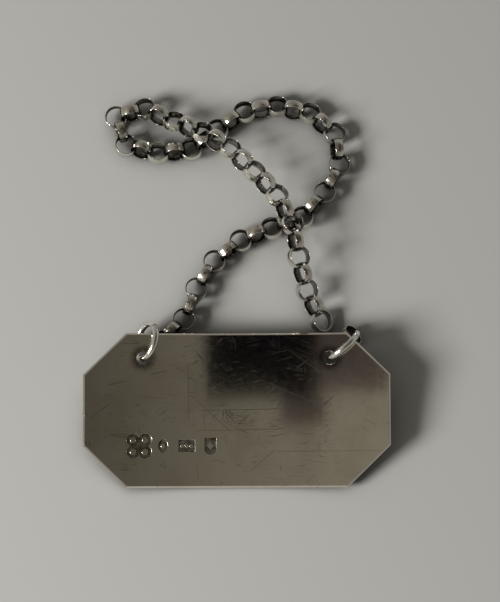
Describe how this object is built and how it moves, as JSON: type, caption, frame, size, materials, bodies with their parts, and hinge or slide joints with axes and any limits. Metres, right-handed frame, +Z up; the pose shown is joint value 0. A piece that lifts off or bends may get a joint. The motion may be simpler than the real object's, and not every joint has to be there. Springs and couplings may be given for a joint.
{
  "type": "wine label on a chain",
  "caption": "Octagonal silver plate bent to fit a bottle, hung from two jump rings by a chain of plain band links, laid face down with the chain in a loose loop.",
  "frame": {"origin": "On the surface that the label lies on, below the middle of the plate.", "axes": "+X runs along the plate to the right, +Y across it to its top edge and the chain, +Z up from the surface on the side of the plate's back."},
  "size_m": [0.044, 0.0596, 0.0074],
  "materials": {
    "plate_silver": "polished silver with fine scratches and a light tarnish",
    "ring_silver": "polished silver wire",
    "chain_silver": "worn silver, dark in the hollows"
  },
  "bodies": {
    "label_plate": {"label_plate": "plate_silver"},
    "left_jump_ring": {"left_jump_ring": "ring_silver"},
    "right_jump_ring": {"right_jump_ring": "ring_silver"},
    "chain_link_01": {"chain_link_01": "chain_silver"},
    "chain_link_02": {"chain_link_02": "chain_silver"},
    "chain_link_03": {"chain_link_03": "chain_silver"},
    "chain_link_04": {"chain_link_04": "chain_silver"},
    "chain_link_05": {"chain_link_05": "chain_silver"},
    "chain_link_06": {"chain_link_06": "chain_silver"},
    "chain_link_07": {"chain_link_07": "chain_silver"},
    "chain_link_08": {"chain_link_08": "chain_silver"},
    "chain_link_09": {"chain_link_09": "chain_silver"},
    "chain_link_10": {"chain_link_10": "chain_silver"},
    "chain_link_11": {"chain_link_11": "chain_silver"},
    "chain_link_12": {"chain_link_12": "chain_silver"},
    "chain_link_13": {"chain_link_13": "chain_silver"},
    "chain_link_14": {"chain_link_14": "chain_silver"},
    "chain_link_15": {"chain_link_15": "chain_silver"},
    "chain_link_16": {"chain_link_16": "chain_silver"},
    "chain_link_17": {"chain_link_17": "chain_silver"},
    "chain_link_18": {"chain_link_18": "chain_silver"},
    "chain_link_19": {"chain_link_19": "chain_silver"},
    "chain_link_20": {"chain_link_20": "chain_silver"},
    "chain_link_21": {"chain_link_21": "chain_silver"},
    "chain_link_22": {"chain_link_22": "chain_silver"},
    "chain_link_23": {"chain_link_23": "chain_silver"},
    "chain_link_24": {"chain_link_24": "chain_silver"},
    "chain_link_25": {"chain_link_25": "chain_silver"},
    "chain_link_26": {"chain_link_26": "chain_silver"},
    "chain_link_27": {"chain_link_27": "chain_silver"},
    "chain_link_28": {"chain_link_28": "chain_silver"},
    "chain_link_29": {"chain_link_29": "chain_silver"},
    "chain_link_30": {"chain_link_30": "chain_silver"},
    "chain_link_31": {"chain_link_31": "chain_silver"},
    "chain_link_32": {"chain_link_32": "chain_silver"},
    "chain_link_33": {"chain_link_33": "chain_silver"},
    "chain_link_34": {"chain_link_34": "chain_silver"},
    "chain_link_35": {"chain_link_35": "chain_silver"},
    "chain_link_36": {"chain_link_36": "chain_silver"},
    "chain_link_37": {"chain_link_37": "chain_silver"},
    "chain_link_38": {"chain_link_38": "chain_silver"},
    "chain_link_39": {"chain_link_39": "chain_silver"},
    "chain_link_40": {"chain_link_40": "chain_silver"},
    "chain_link_41": {"chain_link_41": "chain_silver"},
    "chain_link_42": {"chain_link_42": "chain_silver"},
    "chain_link_43": {"chain_link_43": "chain_silver"},
    "chain_link_44": {"chain_link_44": "chain_silver"},
    "chain_link_45": {"chain_link_45": "chain_silver"},
    "chain_link_46": {"chain_link_46": "chain_silver"},
    "chain_link_47": {"chain_link_47": "chain_silver"},
    "chain_link_48": {"chain_link_48": "chain_silver"},
    "chain_link_49": {"chain_link_49": "chain_silver"},
    "chain_link_50": {"chain_link_50": "chain_silver"},
    "chain_link_51": {"chain_link_51": "chain_silver"},
    "chain_link_52": {"chain_link_52": "chain_silver"},
    "chain_link_53": {"chain_link_53": "chain_silver"},
    "chain_link_54": {"chain_link_54": "chain_silver"},
    "chain_link_55": {"chain_link_55": "chain_silver"},
    "chain_link_56": {"chain_link_56": "chain_silver"},
    "end_link": {"end_link": "chain_silver"}
  },
  "joints": [
    {"name": "left_jump_ring_turn", "type": "hinge", "parent": "label_plate", "child": "left_jump_ring", "pos_m": [-0.01345, 0.00731, 0.00443], "axis": [0.1218, -0.1724, 0.9775], "range_deg": [-10, 15]},
    {"name": "right_jump_ring_turn", "type": "hinge", "parent": "label_plate", "child": "right_jump_ring", "pos_m": [0.01345, 0.00731, 0.00443], "axis": [-0.1218, -0.1724, 0.9775], "range_deg": [-10, 15]},
    {"name": "chain_link_01_lift", "type": "hinge", "parent": "left_jump_ring", "child": "chain_link_01", "pos_m": [-0.01447, 0.01038, 0.00207], "axis": [0.2122, 0.9751, 0.0641], "range_deg": [-10, 10]},
    {"name": "chain_link_02_sway", "type": "hinge", "parent": "chain_link_01", "child": "chain_link_02", "pos_m": [-0.01226, 0.01039, 0.00187], "axis": [0.0891, 0.1599, 0.9831], "range_deg": [-4, 12]},
    {"name": "chain_link_03_lift", "type": "hinge", "parent": "chain_link_02", "child": "chain_link_03", "pos_m": [-0.00988, 0.01096, 0.00171], "axis": [0.3678, -0.926, 0.0848], "range_deg": [-10, 10]},
    {"name": "chain_link_04_sway", "type": "hinge", "parent": "chain_link_03", "child": "chain_link_04", "pos_m": [-0.00836, 0.01311, 0.00178], "axis": [-0.005, 0.0077, 1], "range_deg": [-12, 12]},
    {"name": "chain_link_05_lift", "type": "hinge", "parent": "chain_link_04", "child": "chain_link_05", "pos_m": [-0.00681, 0.01501, 0.00178], "axis": [-0.8238, 0.5636, 0.0607], "range_deg": [-10, 10]},
    {"name": "chain_link_06_sway", "type": "hinge", "parent": "chain_link_05", "child": "chain_link_06", "pos_m": [-0.00622, 0.0175, 0.00178], "axis": [-0.1247, 0.0485, -0.991], "range_deg": [-12, 12]},
    {"name": "chain_link_07_lift", "type": "hinge", "parent": "chain_link_06", "child": "chain_link_07", "pos_m": [-0.00519, 0.01976, 0.00178], "axis": [0.8905, -0.4491, -0.0728], "range_deg": [-10, 10]},
    {"name": "chain_link_08_sway", "type": "hinge", "parent": "chain_link_07", "child": "chain_link_08", "pos_m": [-0.00373, 0.02178, 0.00178], "axis": [0.0145, -0.0092, 0.9999], "range_deg": [-12, 12]},
    {"name": "chain_link_09_lift", "type": "hinge", "parent": "chain_link_08", "child": "chain_link_09", "pos_m": [-0.0022, 0.02374, 0.00178], "axis": [-0.7474, 0.6634, -0.0353], "range_deg": [-10, 10]},
    {"name": "chain_link_10_sway", "type": "hinge", "parent": "chain_link_09", "child": "chain_link_10", "pos_m": [-0.00009, 0.02513, 0.00178], "axis": [0.0461, -0.0567, -0.9973], "range_deg": [-12, 12]},
    {"name": "chain_link_11_lift", "type": "hinge", "parent": "chain_link_10", "child": "chain_link_11", "pos_m": [0.00198, 0.02652, 0.00178], "axis": [0.5081, -0.8542, 0.1105], "range_deg": [-10, 10]},
    {"name": "chain_link_12_sway", "type": "hinge", "parent": "chain_link_11", "child": "chain_link_12", "pos_m": [0.00438, 0.02726, 0.00178], "axis": [-0.0688, 0.1669, 0.9836], "range_deg": [-12, 12]},
    {"name": "chain_link_13_lift", "type": "hinge", "parent": "chain_link_12", "child": "chain_link_13", "pos_m": [0.00669, 0.02818, 0.00178], "axis": [-0.3544, 0.9068, -0.2281], "range_deg": [-10, 10]},
    {"name": "chain_link_14_sway", "type": "hinge", "parent": "chain_link_13", "child": "chain_link_14", "pos_m": [0.009, 0.02901, 0.00178], "axis": [0.0809, -0.2186, -0.9724], "range_deg": [-12, 12]},
    {"name": "chain_link_15_lift", "type": "hinge", "parent": "chain_link_14", "child": "chain_link_15", "pos_m": [0.01113, 0.0302, 0.00178], "axis": [0.5626, -0.8168, 0.1278], "range_deg": [-10, 0]},
    {"name": "chain_link_16_sway", "type": "hinge", "parent": "chain_link_15", "child": "chain_link_16", "pos_m": [0.01252, 0.03237, 0.00178], "axis": [-0.034, 0.0298, 0.999], "range_deg": [-12, 2]},
    {"name": "chain_link_17_lift", "type": "hinge", "parent": "chain_link_16", "child": "chain_link_17", "pos_m": [0.01401, 0.03438, 0.00178], "axis": [-0.8293, 0.5574, 0.0381], "range_deg": [0, 10]},
    {"name": "chain_link_18_sway", "type": "hinge", "parent": "chain_link_17", "child": "chain_link_18", "pos_m": [0.01496, 0.0367, 0.00178], "axis": [-0.0982, 0.0492, -0.994], "range_deg": [-2, 12]},
    {"name": "chain_link_19_lift", "type": "hinge", "parent": "chain_link_18", "child": "chain_link_19", "pos_m": [0.01564, 0.03907, 0.00178], "axis": [0.9697, -0.1656, -0.1796], "range_deg": [-10, 0]},
    {"name": "chain_link_20_sway", "type": "hinge", "parent": "chain_link_19", "child": "chain_link_20", "pos_m": [0.01487, 0.04151, 0.00178], "axis": [0.2099, 0.0267, 0.9774], "range_deg": [-12, 0]},
    {"name": "chain_link_21_lift", "type": "hinge", "parent": "chain_link_20", "child": "chain_link_21", "pos_m": [0.01403, 0.04377, 0.00178], "axis": [-0.865, -0.4565, 0.2082], "range_deg": [0, 10]},
    {"name": "chain_link_22_sway", "type": "hinge", "parent": "chain_link_21", "child": "chain_link_22", "pos_m": [0.01176, 0.04506, 0.00178], "axis": [-0.1763, -0.1986, -0.9641], "range_deg": [0, 12]},
    {"name": "chain_link_23_lift", "type": "hinge", "parent": "chain_link_22", "child": "chain_link_23", "pos_m": [0.0097, 0.04637, 0.00178], "axis": [0.4349, 0.8482, -0.3025], "range_deg": [-10, 0]},
    {"name": "chain_link_24_sway", "type": "hinge", "parent": "chain_link_23", "child": "chain_link_24", "pos_m": [0.00714, 0.04654, 0.00178], "axis": [0.0671, 0.298, 0.9522], "range_deg": [-12, 2]},
    {"name": "chain_link_25_lift", "type": "hinge", "parent": "chain_link_24", "child": "chain_link_25", "pos_m": [0.00467, 0.04678, 0.00178], "axis": [-0.0203, -0.9491, 0.3142], "range_deg": [-4, 10]},
    {"name": "chain_link_26_sway", "type": "hinge", "parent": "chain_link_25", "child": "chain_link_26", "pos_m": [0.00225, 0.04603, 0.00178], "axis": [0.0503, -0.2782, -0.9592], "range_deg": [-10, 12]},
    {"name": "chain_link_27_lift", "type": "hinge", "parent": "chain_link_26", "child": "chain_link_27", "pos_m": [-0.00011, 0.04527, 0.00178], "axis": [-0.3738, 0.9012, -0.2191], "range_deg": [-10, 10]},
    {"name": "chain_link_28_sway", "type": "hinge", "parent": "chain_link_27", "child": "chain_link_28", "pos_m": [-0.002, 0.04355, 0.00178], "axis": [-0.0842, 0.1211, 0.9891], "range_deg": [-12, 12]},
    {"name": "chain_link_29_lift", "type": "hinge", "parent": "chain_link_28", "child": "chain_link_29", "pos_m": [-0.00402, 0.0421, 0.00178], "axis": [0.589, -0.7999, 0.1145], "range_deg": [-6, 10]},
    {"name": "chain_link_30_sway", "type": "hinge", "parent": "chain_link_29", "child": "chain_link_30", "pos_m": [-0.00595, 0.04054, 0.00178], "axis": [0.0331, -0.0425, -0.9985], "range_deg": [-12, 12]},
    {"name": "chain_link_31_lift", "type": "hinge", "parent": "chain_link_30", "child": "chain_link_31", "pos_m": [-0.00812, 0.03937, 0.00178], "axis": [-0.3801, 0.9171, -0.1205], "range_deg": [-10, 0]},
    {"name": "chain_link_32_sway", "type": "hinge", "parent": "chain_link_31", "child": "chain_link_32", "pos_m": [-0.01069, 0.03947, 0.00178], "axis": [0.0289, -0.2321, -0.9723], "range_deg": [-6, 4]},
    {"name": "chain_link_33_lift", "type": "hinge", "parent": "chain_link_32", "child": "chain_link_33", "pos_m": [-0.01316, 0.03946, 0.00178], "axis": [-0.0643, -0.9375, 0.3421], "range_deg": [0, 10]},
    {"name": "chain_link_34_sway", "type": "hinge", "parent": "chain_link_33", "child": "chain_link_34", "pos_m": [-0.01551, 0.04039, 0.00178], "axis": [-0.0637, -0.2422, -0.9681], "range_deg": [-4, 4]},
    {"name": "chain_link_35_lift", "type": "hinge", "parent": "chain_link_34", "child": "chain_link_35", "pos_m": [-0.01754, 0.04169, 0.0018], "axis": [0.6764, 0.7297, -0.0997], "range_deg": [-10, 0]},
    {"name": "chain_link_36_sway", "type": "hinge", "parent": "chain_link_35", "child": "chain_link_36", "pos_m": [-0.01767, 0.0443, 0.00189], "axis": [-0.0484, 0.0146, -0.9987], "range_deg": [-8, 4]},
    {"name": "chain_link_37_lift", "type": "hinge", "parent": "chain_link_36", "child": "chain_link_37", "pos_m": [-0.0172, 0.04639, 0.00208], "axis": [-0.8825, 0.4704, 0], "range_deg": [0, 10]},
    {"name": "chain_link_38_sway", "type": "hinge", "parent": "chain_link_37", "child": "chain_link_38", "pos_m": [-0.01427, 0.04597, 0.00236], "axis": [-0.1327, 0.044, 0.9902], "range_deg": [-6, 12]},
    {"name": "chain_link_39_lift", "type": "hinge", "parent": "chain_link_38", "child": "chain_link_39", "pos_m": [-0.01208, 0.04597, 0.00269], "axis": [0.139, 0.9696, -0.2012], "range_deg": [-10, 0]},
    {"name": "chain_link_40_sway", "type": "hinge", "parent": "chain_link_39", "child": "chain_link_40", "pos_m": [-0.01006, 0.04432, 0.00319], "axis": [0.0117, 0.3987, 0.917], "range_deg": [-4, 4]},
    {"name": "chain_link_41_lift", "type": "hinge", "parent": "chain_link_40", "child": "chain_link_41", "pos_m": [-0.0079, 0.0432, 0.00373], "axis": [-0.5054, -0.7401, 0.4436], "range_deg": [0, 10]},
    {"name": "chain_link_42_sway", "type": "hinge", "parent": "chain_link_41", "child": "chain_link_42", "pos_m": [-0.0058, 0.04209, 0.00453], "axis": [0.0328, -0.4978, -0.8667], "range_deg": [-6, 6]},
    {"name": "chain_link_43_lift", "type": "hinge", "parent": "chain_link_42", "child": "chain_link_43", "pos_m": [-0.00368, 0.04089, 0.0051], "axis": [0.5337, 0.7351, -0.4182], "range_deg": [-10, 0]},
    {"name": "chain_link_44_sway", "type": "hinge", "parent": "chain_link_43", "child": "chain_link_44", "pos_m": [-0.00165, 0.03943, 0.00518], "axis": [-0.1867, -0.427, -0.8848], "range_deg": [-8, 4]},
    {"name": "chain_link_45_lift", "type": "hinge", "parent": "chain_link_44", "child": "chain_link_45", "pos_m": [0.00032, 0.03795, 0.00529], "axis": [-0.5543, -0.6708, 0.4927], "range_deg": [0, 10]},
    {"name": "chain_link_46_sway", "type": "hinge", "parent": "chain_link_45", "child": "chain_link_46", "pos_m": [0.00203, 0.03611, 0.00505], "axis": [-0.3932, -0.3447, -0.8524], "range_deg": [-2, 4]},
    {"name": "chain_link_47_lift", "type": "hinge", "parent": "chain_link_46", "child": "chain_link_47", "pos_m": [0.00379, 0.03432, 0.00498], "axis": [0.6103, 0.5965, -0.5213], "range_deg": [-10, 0]},
    {"name": "chain_link_48_sway", "type": "hinge", "parent": "chain_link_47", "child": "chain_link_48", "pos_m": [0.0054, 0.0324, 0.00507], "axis": [-0.3413, -0.3191, -0.8841], "range_deg": [-12, 8]},
    {"name": "chain_link_49_lift", "type": "hinge", "parent": "chain_link_48", "child": "chain_link_49", "pos_m": [0.00689, 0.03041, 0.00513], "axis": [0.7659, 0.4993, -0.4051], "range_deg": [-10, 10]},
    {"name": "chain_link_50_sway", "type": "hinge", "parent": "chain_link_49", "child": "chain_link_50", "pos_m": [0.00782, 0.02808, 0.00529], "axis": [0.3035, 0.2045, 0.9306], "range_deg": [-6, 10]},
    {"name": "chain_link_51_lift", "type": "hinge", "parent": "chain_link_50", "child": "chain_link_51", "pos_m": [0.00873, 0.02576, 0.00527], "axis": [0.8893, 0.3077, -0.3382], "range_deg": [-10, 6]},
    {"name": "chain_link_52_sway", "type": "hinge", "parent": "chain_link_51", "child": "chain_link_52", "pos_m": [0.00893, 0.02328, 0.00479], "axis": [0.3705, -0.0629, 0.9267], "range_deg": [-12, 12]},
    {"name": "chain_link_53_lift", "type": "hinge", "parent": "chain_link_52", "child": "chain_link_53", "pos_m": [0.00942, 0.02089, 0.00431], "axis": [0.8681, 0.2888, -0.4037], "range_deg": [-10, 10]},
    {"name": "chain_link_54_sway", "type": "hinge", "parent": "chain_link_53", "child": "chain_link_54", "pos_m": [0.01008, 0.01866, 0.00335], "axis": [-0.4964, 0.1701, -0.8513], "range_deg": [-12, 12]},
    {"name": "chain_link_55_lift", "type": "hinge", "parent": "chain_link_54", "child": "chain_link_55", "pos_m": [0.01083, 0.0164, 0.00259], "axis": [-0.7984, -0.4315, 0.42], "range_deg": [-10, 10]},
    {"name": "chain_link_56_sway", "type": "hinge", "parent": "chain_link_55", "child": "chain_link_56", "pos_m": [0.01201, 0.01426, 0.00202], "axis": [0.4889, -0.0185, 0.8722], "range_deg": [-12, 12]},
    {"name": "end_link_lift", "type": "hinge", "parent": "right_jump_ring", "child": "end_link", "pos_m": [0.01638, 0.01067, 0.00249], "axis": [0.6652, 0.37, 0.6485], "range_deg": [-10, 10]}
  ]
}
